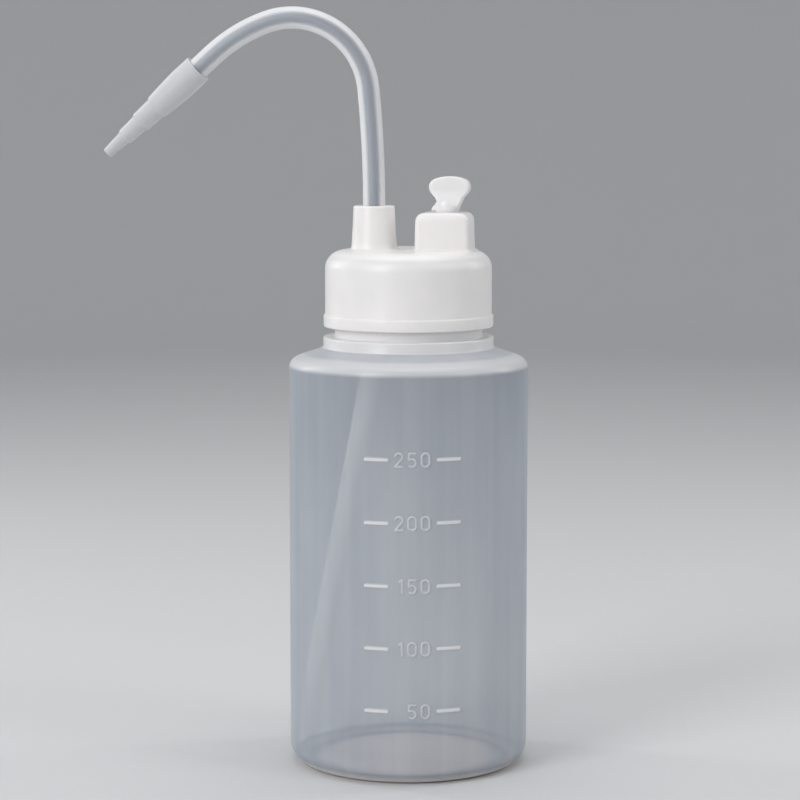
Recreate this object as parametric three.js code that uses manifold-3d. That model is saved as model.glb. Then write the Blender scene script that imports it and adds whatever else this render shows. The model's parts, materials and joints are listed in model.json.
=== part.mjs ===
// A 250 mL squeeze wash bottle with a bent delivery tube, a screw cap and a vent cock.
// Millimetres, +Z up. The origin is on the bottle's axis, level with the bench it stands on.
// The spout points along -X, the vent cock is on +X, and the scale faces -Y.
import * as THREE from "three";
import { mergeVertices } from "three/addons/utils/BufferGeometryUtils.js";
import Module from "manifold-3d";

// ---- driving dimensions -------------------------------------------------------------------

const GAP = 0.3; // running gap between neighbouring pieces
const THROUGH = 30; // length of a cutter that goes right through
const ROUND = 40; // sides of a large turned piece
const SMALL_ROUND = 24; // sides of a small turned piece

const BODY_RADIUS = 32;
const BODY_WALL = 1;
const HEEL_RADIUS = 5.5;
const STANDING_RING_INNER = 22;
const PUSH_UP_RADIUS = 20;
const PUSH_UP_HEIGHT = 0.8;
const SHOULDER_START = 106.9;
const SHOULDER_RADIUS = 3.1;
const SHOULDER_SLOPE = THREE.MathUtils.degToRad(20);

const NECK_RING_RADIUS = 22.8;
const NECK_RING_TOP = 115.3;
const NECK_RADIUS = 19.7;
const NECK_BORE = 18;
const NECK_TOP = 134.7;

const THREAD_PITCH = 4;
const THREAD_TURNS = 1.25;
const THREAD_START = 124;
const BOTTLE_THREAD = { centre: 19.9, radius: 1 };
const CAP_THREAD = { centre: 21.3, radius: 0.8 };

const CAP_BOTTOM = 118;
const CAP_BORE = 21.3;
const CAP_SKIRT_RADIUS = 22.27;
const CAP_FLANGE_RADIUS = 22.7;
const CAP_FLANGE_TOP = 121.2;
const CAP_CEILING = 136.6;
const DECK = 138.4;
const DECK_RADIUS = 17;
const CAP_DOME_FOOT = 133.6;
const GATE = { x: 0.4, y: -6, radius: 1.5, depth: 0.4 };

const LINER_INNER = 16.8;
const LINER_OUTER = 20.6;

const SOCKET_X = -9.3;
const SOCKET_TOP = 150.1;
const SOCKET_TOP_RADIUS = 5.5;
const SOCKET_BASE_RADIUS = 6.1;

const BLOCK = { x: 9.8, width: 14.3, depth: 13, top: 148.4, corner: 2.2, edge: 0.9, draft: 0.15 };

const VENT_X = 10.5;
const VENT_PORT_HEIGHT = 143.5;
const VENT_PORT_RADIUS = 1;
const VENT_OUTLET_RADIUS = 1.2;
const PLUG_RADIUS = 3.05;
const PLUG_HEAD_RADIUS = 3.3;
const PLUG_BEAD = { radius: 3.75, chamfer: 0.8, height: 1.4 };
const PLUG_BOTTOM = 134.6;
const PASSAGE_RADIUS = 1.1;
const GROOVE = { radius: 1.75, bottom: 145.6, top: 147.2 };
const O_RING = { centre: 2.55, radius: 0.5 };
const WING = { offset: 0.66, width: 11, thickness: 4.5, bevel: 0.6, top: 158 };
const WING_HEIGHTS = { foot: 151, cheek: 152.6, widest: 155.4, shoulder: 156.4 };
const LUG = { reach: 4.3, width: 1.2, tip: 149.4, top: 151.2 };

const TUBE_RADIUS = 3;
const TUBE_BORE = 2;
const TUBE_SIDES = 12;
const TUBE_STEP = 3.2;
const DIP_END_HEIGHT = 3.4;
const DIP_CUT = THREE.MathUtils.degToRad(38);

const TIP_LENGTH = 34;
const TIP_GRIP = 10; // how far the tube is pushed into the tip
const TIP_BORE = 0.75;
// The stepped cones, from the small end up: the radius at each one's foot and top, and its top.
const TIP_CONES = [
  { foot: 1.4, radius: 1.95, top: 6.4 },
  { foot: 2.2, radius: 2.55, top: 12.2 },
  { foot: 2.8, radius: 3.15, top: 18.4 },
];
const TIP_BARREL = { foot: 3.4, middle: 3.8, full: 4.05, mouth: 4, middleAt: 23.7, fullAt: 28 };

const SCALE_STEP = 16.5; // height of 50 mL
const SCALE_FIRST = 20;
const SCALE_MARKS = 5;
const SCALE_CENTRE = THREE.MathUtils.degToRad(-79);
const SCALE_NEAR = THREE.MathUtils.degToRad(11.2);
const SCALE_FAR = THREE.MathUtils.degToRad(22.6);
const SCALE_RELIEF = 0.35;
const SCALE_BAR_HEIGHT = 1;

// ---- solids -------------------------------------------------------------------------------

const wasm = await Module();
wasm.setup();

// A closed geometry as a solid that can be joined and cut.
function solidOf(geometry) {
  const bare = geometry.index ? geometry.toNonIndexed() : geometry.clone();
  bare.deleteAttribute("normal");
  bare.deleteAttribute("uv");
  const merged = mergeVertices(bare, 1e-4);
  const vertProperties = new Float32Array(merged.attributes.position.array);
  const triVerts = new Uint32Array(merged.index.array);
  return new wasm.Manifold(new wasm.Mesh({ numProp: 3, vertProperties, triVerts }));
}

function geometryOf(solid) {
  const mesh = solid.getMesh();
  const geometry = new THREE.BufferGeometry();
  geometry.setAttribute("position", new THREE.BufferAttribute(mesh.vertProperties, 3));
  geometry.setIndex(new THREE.BufferAttribute(mesh.triVerts, 1));
  geometry.computeVertexNormals();
  return geometry;
}

// A piece turned about +Z from [radius, height] pairs.
function turned(profile, sides = ROUND) {
  const points = profile.map(([radius, height]) => new THREE.Vector2(radius, height));
  return new THREE.LatheGeometry(points, sides).rotateX(Math.PI / 2);
}

// A plain round bar along +Z, standing at (0, 0, bottom).
function roundBar(radius, bottom, top, sides = SMALL_ROUND) {
  return turned([[0, bottom], [radius, bottom], [radius, top], [0, top]], sides);
}

// An upright outline in X and Z, extruded to a given depth that is centred on Y = 0.
function upright(shape, depth, bevel = 0) {
  const options = {
    depth: depth - 2 * bevel,
    bevelEnabled: bevel > 0,
    bevelThickness: bevel,
    bevelSize: bevel,
    bevelOffset: -bevel,
    bevelSegments: 2,
    curveSegments: 8,
  };
  return new THREE.ExtrudeGeometry(shape, options)
    .translate(0, 0, -depth / 2 + bevel)
    .rotateX(Math.PI / 2);
}

// [radius, height] points along an arc, from one angle to another.
function arc(centreRadius, centreHeight, radius, from, to, steps) {
  const points = [];
  for (let i = 0; i <= steps; i += 1) {
    const angle = from + ((to - from) * i) / steps;
    points.push([
      centreRadius + radius * Math.cos(angle),
      centreHeight + radius * Math.sin(angle),
    ]);
  }
  return points;
}

class Helix extends THREE.Curve {
  constructor(radius, start, pitch, turns) {
    super();
    Object.assign(this, { radius, start, pitch, turns });
  }

  getPoint(t, target = new THREE.Vector3()) {
    const angle = 2 * Math.PI * this.turns * t;
    return target.set(
      this.radius * Math.cos(angle),
      this.radius * Math.sin(angle),
      this.start + this.pitch * this.turns * t,
    );
  }
}

// A round bar, or a tube where it has a bore, along a curve.
function swept(route, steps, radius, bore, sides) {
  const shape = new THREE.Shape().absarc(0, 0, radius, 0, 2 * Math.PI);
  if (bore > 0) shape.holes.push(new THREE.Path().absarc(0, 0, bore, 0, 2 * Math.PI));
  // A full circle is drawn with two sides to each curve segment.
  const options = { steps, curveSegments: sides / 2, bevelEnabled: false, extrudePath: route };
  return new THREE.ExtrudeGeometry(shape, options);
}

// The rounded ridge of a right-hand screw thread.
function threadRidge({ centre, radius }, start) {
  const stepsPerTurn = 24;
  const route = new Helix(centre, start, THREAD_PITCH, THREAD_TURNS);
  return swept(route, stepsPerTurn * THREAD_TURNS, radius, 0, 6);
}

// ---- bottle -------------------------------------------------------------------------------

// One raised bar of the scale, bent round the body.
function scaleBar(height, from, to) {
  const sunk = 0.5;
  const shape = new THREE.Shape();
  shape.absarc(0, 0, BODY_RADIUS + SCALE_RELIEF, from, to, false);
  shape.absarc(0, 0, BODY_RADIUS - sunk, to, from, true);
  const options = { depth: SCALE_BAR_HEIGHT, bevelEnabled: false, curveSegments: 4 };
  return new THREE.ExtrudeGeometry(shape, options).translate(0, 0, height - SCALE_BAR_HEIGHT / 2);
}

function bottleGeometry() {
  const heelCentre = BODY_RADIUS - HEEL_RADIUS;
  const shoulderCentre = BODY_RADIUS - SHOULDER_RADIUS;
  const slopeAngle = Math.PI / 2 - SHOULDER_SLOPE;
  const innerShoulder = SHOULDER_RADIUS - BODY_WALL;

  // Height of the cone of the shoulder at a radius, outside or inside.
  function coneHeight(filletRadius, radius) {
    const footRadius = shoulderCentre + filletRadius * Math.cos(slopeAngle);
    const footHeight = SHOULDER_START + filletRadius * Math.sin(slopeAngle);
    return footHeight + (footRadius - radius) * Math.tan(SHOULDER_SLOPE);
  }

  const lipChamfer = 0.4;
  const outside = [
    [0, PUSH_UP_HEIGHT],
    [PUSH_UP_RADIUS, PUSH_UP_HEIGHT],
    [STANDING_RING_INNER, 0],
    ...arc(heelCentre, HEEL_RADIUS, HEEL_RADIUS, -Math.PI / 2, 0, 5),
    ...arc(shoulderCentre, SHOULDER_START, SHOULDER_RADIUS, 0, slopeAngle, 4),
    [NECK_RING_RADIUS, coneHeight(SHOULDER_RADIUS, NECK_RING_RADIUS)],
    [NECK_RING_RADIUS, NECK_RING_TOP - lipChamfer],
    [NECK_RING_RADIUS - lipChamfer, NECK_RING_TOP],
    [NECK_RADIUS, NECK_RING_TOP],
    [NECK_RADIUS, NECK_TOP - lipChamfer],
    [NECK_RADIUS - lipChamfer, NECK_TOP],
  ];
  const inside = [
    [NECK_BORE, NECK_TOP],
    [NECK_BORE, coneHeight(innerShoulder, NECK_BORE)],
    ...arc(shoulderCentre, SHOULDER_START, innerShoulder, slopeAngle, 0, 3),
    ...arc(heelCentre, HEEL_RADIUS, HEEL_RADIUS - BODY_WALL, 0, -Math.PI / 2, 4),
    [STANDING_RING_INNER, BODY_WALL],
    [PUSH_UP_RADIUS, PUSH_UP_HEIGHT + BODY_WALL],
    [0, PUSH_UP_HEIGHT + BODY_WALL],
  ];
  let solid = solidOf(turned([...outside, ...inside]));
  solid = solid.add(solidOf(threadRidge(BOTTLE_THREAD, THREAD_START)));
  for (let mark = 0; mark < SCALE_MARKS; mark += 1) {
    const height = SCALE_FIRST + SCALE_STEP * mark;
    for (const side of [-1, 1]) {
      const ends = [SCALE_CENTRE + side * SCALE_NEAR, SCALE_CENTRE + side * SCALE_FAR];
      solid = solid.add(solidOf(scaleBar(height, Math.min(...ends), Math.max(...ends))));
    }
  }
  return geometryOf(solid);
}

// ---- screw cap, with its tube socket and vent block ---------------------------------------

function capShellGeometry() {
  const chamfer = 0.4;
  return turned([
    [0, CAP_CEILING],
    [CAP_BORE - 2 * chamfer, CAP_CEILING],
    [CAP_BORE, CAP_CEILING - 2 * chamfer],
    [CAP_BORE, CAP_BOTTOM],
    [CAP_FLANGE_RADIUS - chamfer, CAP_BOTTOM],
    [CAP_FLANGE_RADIUS, CAP_BOTTOM + chamfer],
    [CAP_FLANGE_RADIUS, CAP_FLANGE_TOP - chamfer],
    [CAP_SKIRT_RADIUS, CAP_FLANGE_TOP],
    ...capDome(6),
    [0, DECK],
  ]);
}

// The quarter ellipse that rounds the skirt over to the deck.
function capDome(steps) {
  const points = [];
  for (let i = 0; i <= steps; i += 1) {
    const angle = (Math.PI / 2) * (i / steps);
    points.push([
      DECK_RADIUS + (CAP_SKIRT_RADIUS - DECK_RADIUS) * Math.cos(angle),
      CAP_DOME_FOOT + (DECK - CAP_DOME_FOOT) * Math.sin(angle),
    ]);
  }
  return points;
}

function socketGeometry() {
  const chamfer = 0.35;
  return turned(
    [
      [0, DECK - 1],
      [SOCKET_BASE_RADIUS, DECK - 1],
      [SOCKET_TOP_RADIUS, SOCKET_TOP - chamfer],
      [SOCKET_TOP_RADIUS - chamfer, SOCKET_TOP],
      [0, SOCKET_TOP],
    ],
    32,
  ).translate(SOCKET_X, 0, 0);
}

function blockSolid() {
  const { x, width, depth, top, corner, edge, draft } = BLOCK;
  const foot = DECK - 1;
  const half = width / 2;
  const front = new THREE.Shape();
  front.moveTo(-half - draft, foot);
  front.lineTo(half + draft, foot);
  front.lineTo(half, top - corner);
  front.quadraticCurveTo(half, top, half - corner, top);
  front.lineTo(-half + corner, top);
  front.quadraticCurveTo(-half, top, -half, top - corner);
  front.closePath();

  const halfPlan = half + draft;
  const halfDepth = depth / 2;
  const plan = new THREE.Shape();
  plan.absarc(halfPlan - edge, halfDepth - edge, edge, 0, Math.PI / 2);
  plan.absarc(-halfPlan + edge, halfDepth - edge, edge, Math.PI / 2, Math.PI);
  plan.absarc(-halfPlan + edge, -halfDepth + edge, edge, Math.PI, 1.5 * Math.PI);
  plan.absarc(halfPlan - edge, -halfDepth + edge, edge, 1.5 * Math.PI, 2 * Math.PI);
  const options = { depth: THROUGH, bevelEnabled: false, curveSegments: 3 };
  const column = new THREE.ExtrudeGeometry(plan, options).translate(0, 0, foot - 1);

  return solidOf(upright(front, depth, edge).translate(x, 0, 0)).intersect(
    solidOf(column.translate(x, 0, 0)),
  );
}

function capGeometry() {
  const tubeBore = roundBar(TUBE_RADIUS + GAP, DECK - THROUGH / 2, DECK + THROUGH, 32);
  const plugBore = roundBar(PLUG_RADIUS + GAP, DECK - THROUGH / 2, DECK + THROUGH, 32);
  const outlet = roundBar(VENT_OUTLET_RADIUS, 0, BLOCK.depth, 16)
    .rotateX(-Math.PI / 2)
    .translate(VENT_X, 0, VENT_PORT_HEIGHT);
  const gateDimple = roundBar(GATE.radius, DECK - GATE.depth, DECK + 1, 16);
  const threadClear = CAP_BORE + CAP_THREAD.radius;
  const ridge = solidOf(threadRidge(CAP_THREAD, THREAD_START - THREAD_PITCH / 2));
  return geometryOf(
    solidOf(capShellGeometry())
      .add(ridge.intersect(solidOf(roundBar(threadClear, 0, DECK, ROUND))))
      .add(solidOf(socketGeometry()))
      .add(blockSolid())
      .subtract(solidOf(tubeBore.translate(SOCKET_X, 0, 0)))
      .subtract(solidOf(plugBore.translate(VENT_X, 0, 0)))
      .subtract(solidOf(outlet))
      .subtract(solidOf(gateDimple.translate(GATE.x, GATE.y, 0))),
  );
}

function linerGeometry() {
  const bottom = NECK_TOP + GAP;
  const top = CAP_CEILING - GAP;
  return turned(
    [
      [LINER_INNER, bottom],
      [LINER_OUTER, bottom],
      [LINER_OUTER, top],
      [LINER_INNER, top],
      [LINER_INNER, bottom],
    ],
    32,
  );
}

// ---- vent cock ----------------------------------------------------------------------------

// The wing's outline: narrow at the stem, slanting out to its cheeks, and arched on top.
function wingShape() {
  const { offset, width, top } = WING;
  const { foot, cheek, widest, shoulder } = WING_HEIGHTS;
  const half = width / 2;
  const inset = 0.7;
  const crown = 2 * top - shoulder;
  const shape = new THREE.Shape();
  shape.moveTo(offset - PLUG_RADIUS, foot);
  shape.lineTo(offset + PLUG_RADIUS, foot);
  shape.lineTo(offset + half - inset, cheek);
  shape.lineTo(offset + half, widest);
  shape.lineTo(offset + half - inset / 2, shoulder);
  shape.quadraticCurveTo(offset, crown, offset - half + inset / 2, shoulder);
  shape.lineTo(offset - half, widest);
  shape.lineTo(offset - half + inset, cheek);
  shape.closePath();
  return shape;
}

// The pointer beside the stem's head, which shows where the port faces.
function lugShape() {
  const foot = BLOCK.top + GAP;
  const shape = new THREE.Shape();
  shape.moveTo(-LUG.reach, foot);
  shape.lineTo(-PLUG_RADIUS + 0.5, foot);
  shape.lineTo(-PLUG_RADIUS + 0.5, LUG.top);
  shape.lineTo(-LUG.reach, LUG.tip);
  shape.closePath();
  return shape;
}

// The axial passage leads the vapour from the bottle up to the cross port.
function ventPlugGeometry() {
  const passageTop = VENT_PORT_HEIGHT + PASSAGE_RADIUS;
  const beadTop = PLUG_BOTTOM + PLUG_BEAD.height;
  const headFoot = BLOCK.top + GAP;
  const body = turned([
    [0, passageTop],
    [PASSAGE_RADIUS, passageTop],
    [PASSAGE_RADIUS, PLUG_BOTTOM],
    [PLUG_BEAD.radius - PLUG_BEAD.chamfer, PLUG_BOTTOM],
    [PLUG_BEAD.radius, PLUG_BOTTOM + PLUG_BEAD.chamfer],
    [PLUG_BEAD.radius, beadTop],
    [PLUG_RADIUS, CAP_CEILING - GAP],
    [PLUG_RADIUS, GROOVE.bottom],
    [GROOVE.radius, GROOVE.bottom],
    [GROOVE.radius, GROOVE.top],
    [PLUG_RADIUS, GROOVE.top],
    [PLUG_RADIUS, headFoot],
    [PLUG_HEAD_RADIUS, headFoot],
    [PLUG_HEAD_RADIUS, WING_HEIGHTS.foot],
    [WING.thickness / 2, WING_HEIGHTS.cheek],
    [0, WING_HEIGHTS.cheek],
  ], SMALL_ROUND);
  const port = roundBar(VENT_PORT_RADIUS, 0, 2 * PLUG_RADIUS, 12)
    .rotateY(Math.PI / 2)
    .translate(0, 0, VENT_PORT_HEIGHT);
  return geometryOf(
    solidOf(body)
      .add(solidOf(upright(wingShape(), WING.thickness, WING.bevel)))
      .add(solidOf(upright(lugShape(), LUG.width)))
      .subtract(solidOf(port)),
  );
}

function oRingGeometry() {
  const { centre, radius } = O_RING;
  const height = (GROOVE.bottom + GROOVE.top) / 2;
  return turned(arc(centre, height, radius, 0, 2 * Math.PI, 6), SMALL_ROUND);
}

// ---- delivery tube and nozzle tip ---------------------------------------------------------

// One stretch of a bent tube in the XZ plane. The heading is measured from +X towards +Z.
class Bend extends THREE.Curve {
  constructor(start, heading, length, turn) {
    super();
    Object.assign(this, { start, heading, length, turn });
  }

  getPoint(t, target = new THREE.Vector3()) {
    const { start, heading, turn } = this;
    const along = this.length * t;
    if (turn === 0) {
      return target.set(
        start.x + along * Math.cos(heading),
        0,
        start.z + along * Math.sin(heading),
      );
    }
    const bendRadius = this.length / turn;
    const end = heading + turn * t;
    return target.set(
      start.x + bendRadius * (Math.sin(end) - Math.sin(heading)),
      0,
      start.z - bendRadius * (Math.cos(end) - Math.cos(heading)),
    );
  }
}

// Bends laid end to end, each given by its length and its turn in degrees.
function bendsFrom(start, heading, stretches) {
  const bends = [];
  let from = start;
  let direction = heading;
  for (const { length, degrees } of stretches) {
    const turn = THREE.MathUtils.degToRad(degrees);
    const bend = new Bend(from, direction, length, turn);
    bends.push(bend);
    from = bend.getPoint(1);
    direction += turn;
  }
  return { bends, end: from, heading: direction };
}

function arcLength(radius, degrees) {
  return radius * THREE.MathUtils.degToRad(degrees);
}

// From the dip end, pressed upright by the wall, along the lean and back to the cap's axis.
const DIP_STRETCHES = [
  { length: arcLength(166.6, 9.2), degrees: -9.2 },
  { length: 74.4, degrees: 0 },
  { length: arcLength(70, 10.7), degrees: 10.7 },
];
const DIP_STRAIGHT_BOTTOM = 115.4;
// From the socket over the gooseneck and down to the end inside the tip.
const GOOSENECK_STRETCHES = [
  { length: 31.1, degrees: 5.62 },
  { length: arcLength(20.82, 103.77), degrees: 103.77 },
  { length: arcLength(43.68, 22.41), degrees: 22.41 },
  { length: 5.5 + TIP_GRIP, degrees: 0 },
];

function tubeRoute() {
  const up = Math.PI / 2;
  const dipTurn = DIP_STRETCHES.reduce((sum, stretch) => sum + stretch.degrees, 0);
  const dipHeading = up - THREE.MathUtils.degToRad(dipTurn);
  const trial = bendsFrom(new THREE.Vector3(), dipHeading, DIP_STRETCHES);
  const socketFoot = new THREE.Vector3(SOCKET_X, 0, DIP_STRAIGHT_BOTTOM);
  const dipEnd = socketFoot.clone().sub(trial.end);
  const riser = { length: SOCKET_TOP - DIP_STRAIGHT_BOTTOM, degrees: 0 };
  const stretches = [...DIP_STRETCHES, riser, ...GOOSENECK_STRETCHES];
  return { start: dipEnd, ...bendsFrom(dipEnd, dipHeading, stretches) };
}

const TUBE = tubeRoute();

function deliveryTubeGeometry() {
  const route = new THREE.CurvePath();
  TUBE.bends.forEach((bend) => route.add(bend));
  const steps = Math.round(route.getLength() / TUBE_STEP);
  const tube = solidOf(swept(route, steps, TUBE_RADIUS, TUBE_BORE, TUBE_SIDES));
  // The dip end is cut on the slant, so that it can't seal itself against the base.
  const cutter = new THREE.BoxGeometry(THROUGH, THROUGH, THROUGH)
    .translate(0, 0, -THROUGH / 2)
    .rotateY(-DIP_CUT)
    .translate(TUBE.start.x - TUBE_RADIUS, 0, DIP_END_HEIGHT);
  return geometryOf(tube.subtract(solidOf(cutter)));
}

// The tip stands on its small end here, with its bore up its axis.
function nozzleTipGeometry() {
  const socketRadius = TUBE_RADIUS + GAP;
  const socketFloor = TIP_LENGTH - TIP_GRIP - GAP;
  const cones = [];
  let bottom = 0;
  for (const { foot, radius, top } of TIP_CONES) {
    cones.push([foot, bottom], [radius, top]);
    bottom = top;
  }
  return turned([
    [TIP_BORE, 0],
    ...cones,
    [TIP_BARREL.foot, bottom],
    [TIP_BARREL.middle, TIP_BARREL.middleAt],
    [TIP_BARREL.full, TIP_BARREL.fullAt],
    [TIP_BARREL.mouth, TIP_LENGTH],
    [socketRadius, TIP_LENGTH],
    [socketRadius, socketFloor],
    [TUBE_BORE, socketFloor],
    [TIP_BORE, TIP_CONES[0].top],
    [TIP_BORE, 0],
  ], SMALL_ROUND);
}

// ---- the assembly -------------------------------------------------------------------------

function piece(name, geometry, color, roughness, opacity = 1) {
  const material = new THREE.MeshStandardMaterial({ color, roughness, metalness: 0 });
  material.opacity = opacity;
  material.transparent = opacity < 1;
  const mesh = new THREE.Mesh(geometry, material);
  mesh.name = name;
  return mesh;
}

const bottle = piece("bottle", bottleGeometry(), 0xd3dade, 0.35, 0.55);
const screwCap = piece("screw_cap", capGeometry(), 0xe6e4e2, 0.4);
const capLiner = piece("cap_liner", linerGeometry(), 0xf0efec, 0.7);
const ventPlug = piece("vent_plug", ventPlugGeometry(), 0xe9e7e6, 0.4);
const ventORing = piece("vent_o_ring", oRingGeometry(), 0xd8d8d4, 0.6);
const deliveryTube = piece("delivery_tube", deliveryTubeGeometry(), 0xc8ccd2, 0.35, 0.7);
const nozzleTip = piece("nozzle_tip", nozzleTipGeometry(), 0xc9c9cf, 0.4, 0.8);

const ventCock = new THREE.Group();
ventCock.position.x = VENT_X;
ventCock.add(ventPlug, ventORing);

const tipHeading = new THREE.Vector3(Math.cos(TUBE.heading), 0, Math.sin(TUBE.heading));
nozzleTip.position.copy(TUBE.end).addScaledVector(tipHeading, TIP_LENGTH - TIP_GRIP);
nozzleTip.rotation.y = -Math.PI / 2 - TUBE.heading;

const spout = new THREE.Group();
spout.add(deliveryTube, nozzleTip);

const washBottle = new THREE.Group();
washBottle.add(bottle, capLiner, screwCap, ventCock, spout);

export default washBottle;
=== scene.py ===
import json
import math

import bmesh
import bpy
from mathutils import Matrix, Vector


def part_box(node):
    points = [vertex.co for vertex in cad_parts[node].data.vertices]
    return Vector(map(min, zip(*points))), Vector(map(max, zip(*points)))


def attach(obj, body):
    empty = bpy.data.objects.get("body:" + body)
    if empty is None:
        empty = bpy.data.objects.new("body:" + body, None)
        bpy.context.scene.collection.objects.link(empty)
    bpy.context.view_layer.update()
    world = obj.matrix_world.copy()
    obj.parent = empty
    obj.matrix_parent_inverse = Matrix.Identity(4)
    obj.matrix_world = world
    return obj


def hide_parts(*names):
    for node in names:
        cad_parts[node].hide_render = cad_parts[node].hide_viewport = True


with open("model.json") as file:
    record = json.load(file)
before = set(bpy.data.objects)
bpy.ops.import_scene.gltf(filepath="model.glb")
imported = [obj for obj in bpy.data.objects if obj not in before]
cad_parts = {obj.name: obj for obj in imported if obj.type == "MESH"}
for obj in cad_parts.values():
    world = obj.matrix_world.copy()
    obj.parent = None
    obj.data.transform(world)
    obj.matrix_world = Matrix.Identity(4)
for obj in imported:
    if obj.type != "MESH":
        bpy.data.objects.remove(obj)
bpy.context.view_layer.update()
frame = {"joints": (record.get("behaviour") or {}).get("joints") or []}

MM = 0.001
TAU = 2 * math.pi

# ---- places and sizes that the frame gives ---------------------------------------------------

bottle_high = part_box("bottle")[1]
cap_low, cap_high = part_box("screw_cap")
plug_low, plug_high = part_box("vent_plug")
o_ring_low, o_ring_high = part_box("vent_o_ring")
liner_low, liner_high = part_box("cap_liner")
joints = {joint["name"]: joint for joint in frame["joints"]}

BODY_RADIUS = bottle_high.x
NECK_TOP = bottle_high.z
CAP_BOTTOM = cap_low.z
CAP_FLANGE_RADIUS = cap_high.x
SOCKET_TOP = cap_high.z
SOCKET_X = joints["spout_swivel"]["pos_m"][0]
VENT_X = joints["vent_turn"]["pos_m"][0]

# ---- sizes of the details, in millimetres, and angles in radians --------------------------------

WALL = 1.0
HEEL = 5.5
PUSH_UP = 0.8
SHOULDER_START = 106.9
SHOULDER_RADIUS = 3.1
SHOULDER_SLOPE = math.radians(20)
NECK_RING_RADIUS = 22.8
NECK_RING_TOP = 115.3
NECK_RADIUS = 19.7
NECK_BORE = 18.0
THREAD_PITCH = 4.0
THREAD_START = 124.0
THREAD_TURNS = 1.25
CAP_BORE = 21.3
CAP_SKIRT_RADIUS = 22.27
CAP_CEILING = 136.6
DECK = 138.4
DECK_EDGE = 17.0
CAP_DOME_FOOT = 133.6
BLOCK_X = 9.8
BLOCK_TOP = 148.4
VENT_PORT = 143.5
PLUG_RADIUS = 3.05
TUBE_RADIUS = 2.96
TUBE_BORE = 2.0
TIP_LENGTH = 34.0
TIP_GRIP = 10.0
SCALE_CENTRE = math.radians(-79)
SCALE_FIRST = 20.0
SCALE_STEP = 16.5

# ---- mesh tools --------------------------------------------------------------------------------


def new_object(name, mesh):
    piece = bpy.data.objects.new(name, mesh)
    bpy.context.scene.collection.objects.link(piece)
    return piece


def mesh_from(name, points, faces):
    """A mesh object from points in millimetres."""
    mesh = bpy.data.meshes.new(name)
    mesh.from_pydata([[c * MM for c in p] for p in points], [], faces)
    mesh.validate()
    mesh.update()
    return new_object(name, mesh)


def eased(share):
    """A share from 0 to 1 that starts and ends gently."""
    share = min(1.0, max(0.0, share))
    return share * share * (3 - 2 * share)


def arc(centre_r, centre_z, radius, start, end, steps):
    """(radius, height) points along an arc, from one angle to another in degrees."""
    points = []
    for i in range(steps + 1):
        a = math.radians(start + (end - start) * i / steps)
        points.append((centre_r + radius * math.cos(a), centre_z + radius * math.sin(a)))
    return points


def rows_between(low, high, step):
    count = max(1, round((high - low) / step))
    return [low + (high - low) * i / count for i in range(count + 1)]


def even_columns(sides):
    return [TAU * i / sides for i in range(sides)]


def turned(name, profile, columns=128, relief=None, closed=False):
    """A piece turned about +Z from (radius, height) pairs: axis to axis, or a closed loop.
    columns is how many there are, or their angles. relief(angle, radius, height) gives the
    extra radius of a point."""
    angles = even_columns(columns) if isinstance(columns, int) else columns
    sides = len(angles)
    points = []
    faces = []
    rings = []
    for radius, height in profile:
        if radius < 1e-6:
            rings.append([len(points)] * sides)
            points.append((0, 0, height))
            continue
        ring = []
        for angle in angles:
            r = radius + (relief(angle, radius, height) if relief else 0)
            ring.append(len(points))
            points.append((r * math.cos(angle), r * math.sin(angle), height))
        rings.append(ring)
    pairs = list(zip(rings, rings[1:]))
    if closed:
        pairs.append((rings[-1], rings[0]))
    for lower, upper in pairs:
        for i in range(sides):
            j = (i + 1) % sides
            corners = [lower[i], lower[j], upper[j], upper[i]]
            face = list(dict.fromkeys(corners))
            if len(face) > 2:
                faces.append(face)
    return mesh_from(name, points, faces)


def move(piece, x=0.0, y=0.0, z=0.0):
    piece.data.transform(Matrix.Translation(Vector((x, y, z)) * MM))
    return piece


def bar(name, radius, low, high, sides=48):
    """A plain round cutter along +Z."""
    return turned(name, [(0, low), (radius, low), (radius, high), (0, high)], sides)


def apply_modifiers(piece):
    """Replaces the piece's mesh by what its modifiers make of it."""
    graph = bpy.context.evaluated_depsgraph_get()
    made = bpy.data.meshes.new_from_object(piece.evaluated_get(graph))
    piece.modifiers.clear()
    old = piece.data
    piece.data = made
    bpy.data.meshes.remove(old)
    return piece


def combine(piece, other, operation):
    """Joins other to piece, or cuts it away, and removes other."""
    modifier = piece.modifiers.new("combine", "BOOLEAN")
    modifier.operation = operation
    modifier.solver = "EXACT"
    modifier.object = other
    apply_modifiers(piece)
    bpy.data.objects.remove(other)
    return piece


def softened(piece, voxel, passes):
    """The piece rebuilt from small even cells and smoothed, as if every inner corner were filleted."""
    remesh = piece.modifiers.new("cells", "REMESH")
    remesh.mode = "VOXEL"
    remesh.voxel_size = voxel * MM
    relax = piece.modifiers.new("relax", "SMOOTH")
    relax.factor = 0.5
    relax.iterations = passes
    return apply_modifiers(piece)


def extruded(name, outline, depth, rounding, segments):
    """An upright outline of (x, z) points, extruded along Y about Y = 0, with rounded rims."""
    mesh = bpy.data.meshes.new(name)
    work = bmesh.new()
    front = [work.verts.new((x * MM, -depth / 2 * MM, z * MM)) for x, z in outline]
    back = [work.verts.new((x * MM, depth / 2 * MM, z * MM)) for x, z in outline]
    work.faces.new(front)
    work.faces.new(reversed(back))
    rims = []
    for i in range(len(outline)):
        j = (i + 1) % len(outline)
        work.faces.new((front[j], front[i], back[i], back[j]))
        rims.append(work.edges.get((front[i], front[j])))
        rims.append(work.edges.get((back[i], back[j])))
    bmesh.ops.bevel(
        work,
        geom=rims,
        offset=rounding * MM,
        segments=segments,
        profile=0.5,
        affect="EDGES",
        clamp_overlap=True,
    )
    bmesh.ops.recalc_face_normals(work, faces=work.faces)
    work.to_mesh(mesh)
    work.free()
    return new_object(name, mesh)


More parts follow.
